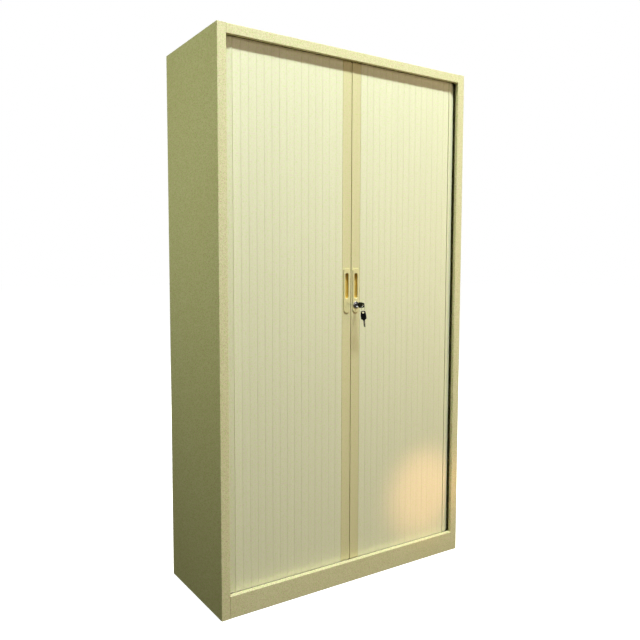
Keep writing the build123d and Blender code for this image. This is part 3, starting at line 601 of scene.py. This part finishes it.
# ---------------------------------------------------------------- handles
def build_handle(side, sign):
    """Pull handle: a plate with a rolled rim, a finger slot with a rolled lip and a cup behind it."""
    low, high = HANDLE_LOW, HANDLE_HIGH
    half, height = (high.x - low.x) / 2, high.z - low.z
    back = PLATE_THICKNESS
    skin = Skin(Matrix.Translation((sign * LOCK_X, PLATE_FACE, 0)))

    def ring(outline, depth):
        return skin.loop([(x, depth, z) for x, z in outline])

    plate = [
        (-half, low.z, half), (half, low.z, half),
        (half, low.z + height, PLATE_TOP_RADIUS), (-half, low.z + height, PLATE_TOP_RADIUS),
    ]
    behind = ring(rounded(plate, 0.0, PLATE_FACETS), back)
    rim = [
        ring(rounded(plate, PLATE_RIM * c, PLATE_FACETS), PLATE_RIM * (1 - s))
        for s, c in quarter(RIM_FACETS)
    ]
    face = skin.run([behind, *rim])

    def stadium(outset, depth):
        bottom = LOCK_Z + SLOT_ABOVE_BOSS - outset
        top = bottom + SLOT_LENGTH + 2 * outset
        reach = SLOT_HALF + outset
        corners = [(-reach, bottom, reach), (reach, bottom, reach), (reach, top, reach), (-reach, top, reach)]
        return ring(rounded(corners, 0.0, SLOT_FACETS), depth)

    lip = [stadium(SLOT_LIP * (1 - s), SLOT_LIP * c) for s, c in quarter(RIM_FACETS)]
    foot = [stadium(-SLOT_FOOT * c, SLOT_DEPTH - SLOT_FOOT * (1 - s)) for s, c in quarter(FOOT_FACETS)]
    skin.cap(skin.run([*lip, *foot]))

    def disc(radius, depth):
        return ring([(x, LOCK_Z + z) for x, z in circle(radius, TURNED_FACETS)], depth)

    holes, back_holes = [], []
    if side == "right":
        holes, back_holes = [disc(BARREL_HOLE, 0.0)], [disc(BARREL_HOLE, back)]
        skin.bridge(holes[0], back_holes[0])
    else:
        reach = BOSS_RADIUS - BOSS_WIDTH
        rolls = [(BOSS_ROUND * c, -BOSS_HEIGHT + BOSS_ROUND * (1 - s)) for s, c in quarter(BOSS_FACETS)]
        outer = [disc(BOSS_RADIUS - aside, depth) for aside, depth in rolls]
        inner = [disc(reach + aside, depth) for aside, depth in rolls]
        foot_outer, foot_inner = disc(BOSS_RADIUS, 0.0), disc(reach, 0.0)
        skin.run([foot_outer, *outer, *inner[::-1], foot_inner])
        skin.cap(foot_inner)
        holes = [foot_outer]
    skin.cap(face, lip[0], *holes)
    cup = stadium(CUP_WALL, back)
    skin.cap(skin.run([cup, stadium(CUP_WALL, SLOT_DEPTH + CUP_WALL)]))
    skin.cap(behind, cup, *back_holes)
    piece = skin.finish(f"{side}_handle_shell", "handle_plastic")
    put(piece, f"{side}_door", f"{side}_handle")


# ---------------------------------------------------------------- lock
# The lock's frame: X across, Y up and Z out of the lock's face.
LOCK_TURN = Matrix(((1, 0, 0), (0, 0, -1), (0, 1, 0))).to_4x4()
LOCK_PLACE = Matrix.Translation((LOCK_X, LOCK_LOW.y, LOCK_Z)) @ LOCK_TURN


def build_lock():
    """Domed bezel with its barrel, and the plug with its keyway."""
    skin = Skin(LOCK_PLACE)
    thickness = PLATE_FACE - LOCK_LOW.y
    rise = thickness - BEZEL_SIDE
    slope = BEZEL_RADIUS - BEZEL_LAND
    dome = [(BEZEL_LAND + slope * (1 - c), -rise * (1 - s)) for s, c in quarter(DOME_FACETS)]
    bore = PLUG_RADIUS + PLUG_GAP
    start, peak = LAND_RIM
    land = [
        (BEZEL_LAND - LAND_SINK, -LAND_SINK), (bore + start, -LAND_SINK),
        (bore + peak, 0.0), (bore, -LAND_SINK),
    ]
    barrel_end = -thickness - BARREL_LENGTH
    profile = [
        (BEZEL_RADIUS, -thickness), *dome, *land, (bore, barrel_end),
        (BARREL_RADIUS, barrel_end), (BARREL_RADIUS, -thickness),
    ]
    lathe(skin, profile)
    put(skin.finish("lock_bezel", "lock_chrome", crease=30), "right_door", "lock_housing")

    skin = Skin(LOCK_PLACE)

    def disc(radius, z):
        return skin.loop([(x, y, z) for x, y in circle(radius, TURNED_FACETS)])

    edge = disc(PLUG_RADIUS, -PLUG_CHAMFER)
    face = disc(PLUG_RADIUS - PLUG_CHAMFER, 0.0)
    back = disc(PLUG_RADIUS, -PLUG_LENGTH)
    skin.run([back, edge, face])
    half_x, half_y = KEYWAY
    corner = half_x / 4
    keyway = [
        (-half_x, -half_y, corner), (half_x, -half_y, corner),
        (half_x, half_y, corner), (-half_x, half_y, corner),
    ]
    outline = rounded(keyway, 0.0, SMALL_FACETS)
    mouth, end = [skin.loop([(x, y, z) for x, y in outline]) for z in (0.0, -KEYWAY_DEPTH)]
    skin.bridge(mouth, end)
    skin.cap(end)
    skin.cap(face, mouth)
    skin.cap(back)
    put(skin.finish("lock_core_plug", "lock_chrome", crease=30), "lock_core", "lock_plug")


# ---------------------------------------------------------------- keys
def build_bow(name, place, body, node):
    """Moulded bow with rolled edges, a sunk panel in each face, the ring's hole and the neck."""
    skin = Skin(place)
    wide, narrow, middle = BOW_HALF, BOW_TOP_HALF, BOW_LENGTH / 2
    bow = [
        (-wide, 0, BOW_CORNER), (wide, 0, BOW_CORNER), (wide, middle, BOW_CORNER),
        (narrow, BOW_LENGTH, BOW_CORNER), (-narrow, BOW_LENGTH, BOW_CORNER), (-wide, middle, BOW_CORNER),
    ]
    upper = wide - (wide - narrow) / 4
    panel = [
        (-wide, 0, BOW_CORNER), (wide, 0, BOW_CORNER),
        (upper, BOW_PANEL_END, BOW_CORNER), (-upper, BOW_PANEL_END, BOW_CORNER),
    ]
    half = BOW_THICKNESS / 2
    shells, bores = [], []
    for side in (-1, 1):
        def ring(outline, z):
            return skin.loop([(x, y, side * z) for x, y in outline])

        def hole(radius, z):
            return ring([(x, BOW_HOLE_ALONG + y) for x, y in circle(radius, HOLE_FACETS)], z)

        shell = [
            ring(rounded(bow, BOW_EDGE * c, BOW_FACETS), half - BOW_EDGE * (1 - s))
            for s, c in quarter(BOW_EDGE_FACETS)
        ]
        bore = [
            hole(BOW_HOLE + BOW_EDGE / 2 * c, half - BOW_EDGE / 2 * (1 - s))
            for s, c in quarter(HOLE_EDGE_FACETS)
        ]
        skin.run(shell)
        skin.run(bore)
        rim = ring(rounded(panel, BOW_PANEL, BOW_FACETS), half)
        sunk = ring(rounded(panel, BOW_PANEL + BOW_PANEL_DEPTH, BOW_FACETS), half - BOW_PANEL_DEPTH)
        skin.bridge(rim, sunk)
        skin.cap(sunk)
        skin.cap(shell[-1], bore[-1], rim)
        shells.append(shell[0])
        bores.append(bore[0])
    skin.bridge(*shells)
    skin.bridge(*bores)
    piece = skin.finish(name, "key_plastic")
    put(piece, body, node)

    reach, length = BOW_COLLAR
    collar = Skin(place)
    low_round, high_round = COLLAR_CORNERS
    outline = [
        (-reach, -length, low_round), (reach, -length, low_round),
        (reach, BOW_EDGE, high_round), (-reach, BOW_EDGE, high_round),
    ]
    thick, edge = half - BOW_EDGE, COLLAR_EDGE
    levels = ((edge, -thick), (0.0, edge - thick), (0.0, thick - edge), (edge, thick))
    loops = [
        collar.loop([(x, y, z) for x, y in rounded(outline, inset, SMALL_FACETS)]) for inset, z in levels
    ]
    collar.run(loops)
    collar.cap(loops[0])
    collar.cap(loops[-1])
    put(collar.finish(name + "_neck", "key_plastic"), body, node)


def blade_outline():
    """Blade from its tip to its shank, with the cuts of the bitting along one edge."""
    points = [(BLADE_HALF, BLADE_SHANK), (-BLADE_HALF, BLADE_SHANK)]
    for number in range(len(BITTING) - 1, -1, -1):
        along = BIT_START + BIT_PITCH * number - BLADE_LENGTH
        cut = -BLADE_HALF + BITTING[number]
        points += [(-BLADE_HALF, along + BIT_HALF), (cut, along + BIT_HALF * BIT_FLOOR)]
        points += [(cut, along - BIT_HALF * BIT_FLOOR), (-BLADE_HALF, along - BIT_HALF)]
    tip = BLADE_HALF / 2
    points += [(-BLADE_HALF, tip - BLADE_LENGTH), (-BLADE_HALF + tip, -BLADE_LENGTH)]
    points += [(BLADE_HALF - tip, -BLADE_LENGTH), (BLADE_HALF, tip - BLADE_LENGTH)]
    return points


def build_blade(name, place, body, node):
    """Steel blade with its bitting and a milled groove along each face."""
    skin = Skin(place)
    half = BLADE_THICKNESS / 2
    outline = blade_outline()
    lower, upper = [skin.loop([(x, y, z) for x, y in outline]) for z in (-half, half)]
    skin.bridge(lower, upper)
    near, far = GROOVE_ASIDE, GROOVE_ASIDE + 2 * BLADE_GROOVE
    start, end = GROOVE_TIP - BLADE_LENGTH, 0.0
    groove = [(near, start), (far, start), (far, end), (near, end)]
    for loop, side in ((lower, -1), (upper, 1)):
        rim = skin.loop([(x, y, side * half) for x, y in groove])
        floor = skin.loop([(x, y, side * (half - BLADE_GROOVE)) for x, y in groove])
        skin.bridge(rim, floor)
        skin.cap(floor)
        skin.cap(loop, rim)
    put(skin.finish(name, "key_steel", crease=25), body, node)


def build_ring():
    """Split ring: two turns of thin wire that run into each other, in the space of one thick wire."""
    centre = RING_TOP - Vector((0, 0, RING_RADIUS))
    place = Matrix.Translation(centre) @ Matrix.Rotation(RING_TURN, 4, "Z")
    skin = Skin(place)
    wire = RING_WIRE / 2
    steps = RING_STEPS * RING_TURNS
    loops = []
    for k in range(steps + 1):
        angle = math.tau * RING_TURNS * k / steps + RING_SEAM
        aside = wire * (2 * k / steps - 1) * RING_DRIFT
        outward = Vector((math.cos(angle), 0, math.sin(angle)))
        spot = outward * RING_RADIUS + Vector((0, aside, 0))
        section = [outward * (wire * a) + Vector((0, wire * b, 0)) for a, b in circle(1.0, WIRE_FACETS)]
        loops.append(skin.loop([spot + point for point in section]))
    skin.run(loops)
    skin.cap(loops[0])
    skin.cap(loops[-1])
    put(skin.finish("split_ring", "key_steel"), "ring", "key_ring")


# The key's frame: X across it, its bow along +Y and its blade along -Y from the shoulder.
KEY_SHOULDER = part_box("key")[1].y - BLADE_LENGTH
RING_TOP = Vector((LOCK_X, KEY_SHOULDER - BOW_HOLE_ALONG, LOCK_Z - RING_REST))
KEY_TURN = Matrix(((0, 0, 1), (0, -1, 0), (1, 0, 0))).to_4x4()
KEY_PLACE = Matrix.Translation((LOCK_X, KEY_SHOULDER, LOCK_Z)) @ KEY_TURN
SPARE_UPRIGHT = Matrix(((0, 0, 1), (1, 0, 0), (0, 1, 0))).to_4x4()
SPARE_PLACE = (
    Matrix.Translation(RING_TOP - Vector((0, 0, 2 * RING_RADIUS)))
    @ Matrix.Rotation(SPARE_TURN, 4, "Z")
    @ SPARE_UPRIGHT
    @ Matrix.Rotation(SPARE_TILT, 4, "Z")
    @ Matrix.Translation((0, -SPARE_REST - BOW_HOLE_ALONG, 0))
)


# ---------------------------------------------------------------- stage
def build_stage():
    """White floor; it glows a little, so that only a faint shadow shows on it."""
    mesh = bpy.data.meshes.new("studio_floor")
    reach = FLOOR_REACH
    corners = [(-reach, -reach, 0), (reach, -reach, 0), (reach, reach, 0), (-reach, reach, 0)]
    mesh.from_pydata(corners, [], [(0, 1, 2, 3)])
    floor = bpy.data.objects.new("studio_floor", mesh)
    bpy.context.scene.collection.objects.link(floor)
    shader = Shader("studio_floor")
    shader.set(Base_Color=(FLOOR_GREY, FLOOR_GREY, FLOOR_GREY), Roughness=0.9)
    shader.set(Emission_Color=(1.0, 1.0, 1.0), Emission_Strength=FLOOR_GLOW)
    mesh.materials.append(shader.material)
    floor.visible_diffuse = False
    floor.visible_glossy = False


def build_world():
    """Soft surround: dim for the object, brighter above than below, and white for the eye."""
    world = bpy.data.worlds.new("studio")
    bpy.context.scene.world = world
    world.use_nodes = True
    tree = world.node_tree
    background = tree.nodes["Background"]

    def link(source, target):
        tree.links.new(source, target)

    split = tree.nodes.new("ShaderNodeSeparateXYZ")
    link(tree.nodes.new("ShaderNodeTexCoord").outputs["Generated"], split.inputs[0])
    ramp = tree.nodes.new("ShaderNodeMapRange")
    ramp.interpolation_type = "SMOOTHSTEP"
    for name, number in zip(("From Min", "From Max"), HORIZON):
        ramp.inputs[name].default_value = number
    link(split.outputs["Z"], ramp.inputs["Value"])
    blend = tree.nodes.new("ShaderNodeMix")
    blend.data_type = "RGBA"
    link(ramp.outputs["Result"], blend.inputs[MIX_FACTOR])
    for number, (strength, colour) in ((MIX_FIRST, GROUND), (MIX_SECOND, SKY)):
        blend.inputs[number].default_value = (*[strength * c for c in colour], 1.0)
    seen = tree.nodes.new("ShaderNodeMix")
    seen.data_type = "RGBA"
    link(tree.nodes.new("ShaderNodeLightPath").outputs["Is Camera Ray"], seen.inputs[MIX_FACTOR])
    link(blend.outputs[MIX_RESULT], seen.inputs[MIX_FIRST])
    seen.inputs[MIX_SECOND].default_value = (BACKDROP, BACKDROP, BACKDROP, 1.0)
    link(seen.outputs[MIX_RESULT], background.inputs["Color"])
    background.inputs["Strength"].default_value = 1.0


def add_lamp(name, kind, place, target, watts, colour):
    """A lamp that lights the object and is not seen itself."""
    lamp = bpy.data.lights.new(name, kind)
    lamp.energy = watts
    lamp.color = colour
    holder = bpy.data.objects.new(name, lamp)
    bpy.context.scene.collection.objects.link(holder)
    holder.location = place
    direction = Vector(target) - Vector(place)
    holder.rotation_euler = direction.to_track_quat("-Z", "Y").to_euler()
    holder.visible_camera = False
    holder.visible_glossy = name not in MATT_LAMPS
    return lamp


def build_lights():
    for name, (place, target, size, watts, colour) in LIGHTS.items():
        lamp = add_lamp(name, "AREA", place, target, watts, colour)
        lamp.shape = "RECTANGLE"
        lamp.size, lamp.size_y = size
    place, target, angle, watts, colour = GLOW
    lamp = add_lamp("warm_glow", "SPOT", place, target, watts, colour)
    lamp.spot_size = math.radians(angle)
    lamp.spot_blend = GLOW_BLEND
    lamp.shadow_soft_size = GLOW_RADIUS


def build_camera():
    camera = bpy.data.cameras.new("camera")
    camera.lens = CAMERA_LENS
    camera.sensor_width = SENSOR_WIDTH
    holder = bpy.data.objects.new("camera", camera)
    bpy.context.scene.collection.objects.link(holder)
    level = math.cos(CAMERA_PITCH)
    forward = Vector((math.sin(CAMERA_YAW) * level, math.cos(CAMERA_YAW) * level, -math.sin(CAMERA_PITCH)))
    right = Vector((math.cos(CAMERA_YAW), -math.sin(CAMERA_YAW), 0))
    up = right.cross(forward)
    rolled_right = right * math.cos(CAMERA_ROLL) + up * math.sin(CAMERA_ROLL)
    rolled_up = up * math.cos(CAMERA_ROLL) - right * math.sin(CAMERA_ROLL)
    turn = Matrix((rolled_right, rolled_up, -forward)).transposed()
    holder.matrix_world = Matrix.Translation(CAMERA_PLACE) @ turn.to_4x4()
    bpy.context.scene.camera = holder


paint_cad_nodes()
for side, sign in (("left", -1), ("right", 1)):
    build_slats(side, sign)
    build_handle(side, sign)
build_tail()
build_lock()
build_blade("key_blade", KEY_PLACE, "key", "key")
build_bow("key_bow", KEY_PLACE, "key", "key_head")
build_blade("spare_key_blade", SPARE_PLACE, "spare", "spare_key")
build_bow("spare_key_bow", SPARE_PLACE, "spare", "spare_key_head")
build_ring()
build_stage()
build_world()
build_lights()
build_camera()
bpy.context.scene.view_settings.view_transform = "Standard"
